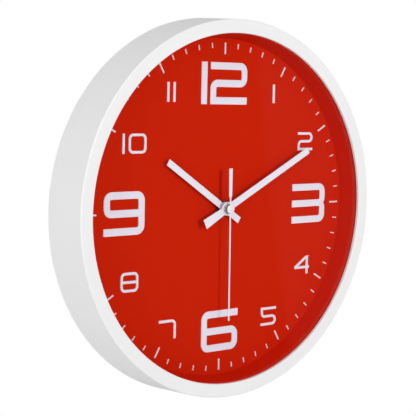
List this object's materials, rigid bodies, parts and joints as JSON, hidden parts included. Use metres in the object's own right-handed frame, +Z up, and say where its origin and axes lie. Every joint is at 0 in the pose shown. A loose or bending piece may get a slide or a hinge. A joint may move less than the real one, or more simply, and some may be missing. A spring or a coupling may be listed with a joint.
{
  "type": "wall clock",
  "caption": "Round analogue quartz wall clock with a deep white rim, sunk dial, raised numerals, three hands and a battery movement in the back.",
  "frame": {"origin": "on the wall plane, on the axis of the hands: the point of the wall that the hands' axis meets", "axes": "+Z up the wall towards twelve, +Y into the wall, +X towards three; the dial faces -Y"},
  "size_m": [0.304, 0.04, 0.304],
  "materials": {
    "rim_white": "smooth satin-gloss white ABS",
    "cover_white": "fine-textured white ABS",
    "lens_clear": "clear polished",
    "dial_red": "satin red",
    "wall_red": "satin-gloss red",
    "numeral_pale": "satin pale grey-lilac",
    "hand_pale": "satin paint",
    "cap_white": "polished",
    "nut_black": "black zinc",
    "brass": "turned",
    "nickel": "nickel plated",
    "steel": "zinc plated",
    "rubber_black": "matte",
    "movement_black": "fine spark texture",
    "plate_grey": "matte",
    "gear_natural": "natural acetal",
    "bobbin_ivory": "matte",
    "copper_wire": "enamelled",
    "ferrite": "ground",
    "board_green": "solder mask",
    "epoxy_black": "cast",
    "battery_jacket": "printed film without lettering"
  },
  "bodies": {
    "case": {"battery": "battery_jacket", "case_screws": "steel", "chip": "epoxy_black", "circuit_board": "board_green", "coil_bobbin": "bobbin_ivory", "coil_core": "steel", "coil_winding": "copper_wire", "contact_negative": "nickel", "contact_positive": "nickel", "crystal": "steel", "dial": "dial_red", "dial_wall": "wall_red", "dial_washer": "brass", "hex_nut": "nut_black", "hour_ticks": "numeral_pale", "lens": "lens_clear", "middle_plate": "plate_grey", "minute_ticks": "numeral_pale", "movement_base": "movement_black", "movement_cover": "movement_black", "numeral_1": "numeral_pale", "numeral_10": "numeral_pale", "numeral_11": "numeral_pale", "numeral_12": "numeral_pale", "numeral_2": "numeral_pale", "numeral_3": "numeral_pale", "numeral_4": "numeral_pale", "numeral_5": "numeral_pale", "numeral_6": "numeral_pale", "numeral_7": "numeral_pale", "numeral_8": "numeral_pale", "numeral_9": "numeral_pale", "rear_cover": "cover_white", "rim": "rim_white", "rubber_gasket": "rubber_black", "stator": "steel", "threaded_bush": "brass"},
    "second": {"second_hand": "hand_pale", "second_cap": "cap_white", "second_wheel": "gear_natural"},
    "minute": {"minute_hand": "hand_pale", "minute_collet": "nickel", "centre_wheel": "gear_natural"},
    "hour": {"hour_hand": "hand_pale", "hour_collet": "brass", "hour_wheel": "gear_natural"},
    "rotor": {"rotor_magnet": "ferrite", "rotor_pinion": "gear_natural"},
    "fifth": {"fifth_wheel": "gear_natural"},
    "third": {"third_wheel": "gear_natural"},
    "motion": {"motion_wheel": "gear_natural"},
    "knob": {"setting_knob": "plate_grey"}
  },
  "joints": [
    {"name": "second_hand_turn", "type": "hinge", "parent": "case", "child": "second", "pos_m": [0, -0.012, 0], "axis": [0, 1, 0], "continuous": true},
    {"name": "minute_hand_turn", "type": "hinge", "parent": "case", "child": "minute", "pos_m": [0, -0.012, 0], "axis": [0, 1, 0], "continuous": true},
    {"name": "hour_hand_turn", "type": "hinge", "parent": "case", "child": "hour", "pos_m": [0, -0.012, 0], "axis": [0, 1, 0], "continuous": true},
    {"name": "rotor_turn", "type": "hinge", "parent": "case", "child": "rotor", "pos_m": [0.01077, -0.012, -0.00409], "axis": [0, 1, 0], "continuous": true},
    {"name": "fifth_wheel_turn", "type": "hinge", "parent": "case", "child": "fifth", "pos_m": [0.00546, -0.012, -0.00315], "axis": [0, 1, 0], "continuous": true},
    {"name": "third_wheel_turn", "type": "hinge", "parent": "case", "child": "third", "pos_m": [0.00625, -0.012, 0.00625], "axis": [0, 1, 0], "continuous": true},
    {"name": "motion_wheel_turn", "type": "hinge", "parent": "case", "child": "motion", "pos_m": [-0.00679, -0.012, 0.00679], "axis": [0, 1, 0], "continuous": true},
    {"name": "setting_knob_turn", "type": "hinge", "parent": "case", "child": "knob", "pos_m": [-0.0151, -0.012, 0.01159], "axis": [0, 1, 0], "continuous": true}
  ],
  "couplings": [
    {"joint": "minute_hand_turn", "follows": "second_hand_turn", "ratio": 0.016667},
    {"joint": "hour_hand_turn", "follows": "second_hand_turn", "ratio": 0.0013889},
    {"joint": "rotor_turn", "follows": "second_hand_turn", "ratio": 30},
    {"joint": "fifth_wheel_turn", "follows": "second_hand_turn", "ratio": -6},
    {"joint": "third_wheel_turn", "follows": "second_hand_turn", "ratio": -0.13333},
    {"joint": "motion_wheel_turn", "follows": "second_hand_turn", "ratio": -0.0055556},
    {"joint": "setting_knob_turn", "follows": "second_hand_turn", "ratio": 0.016667}
  ]
}
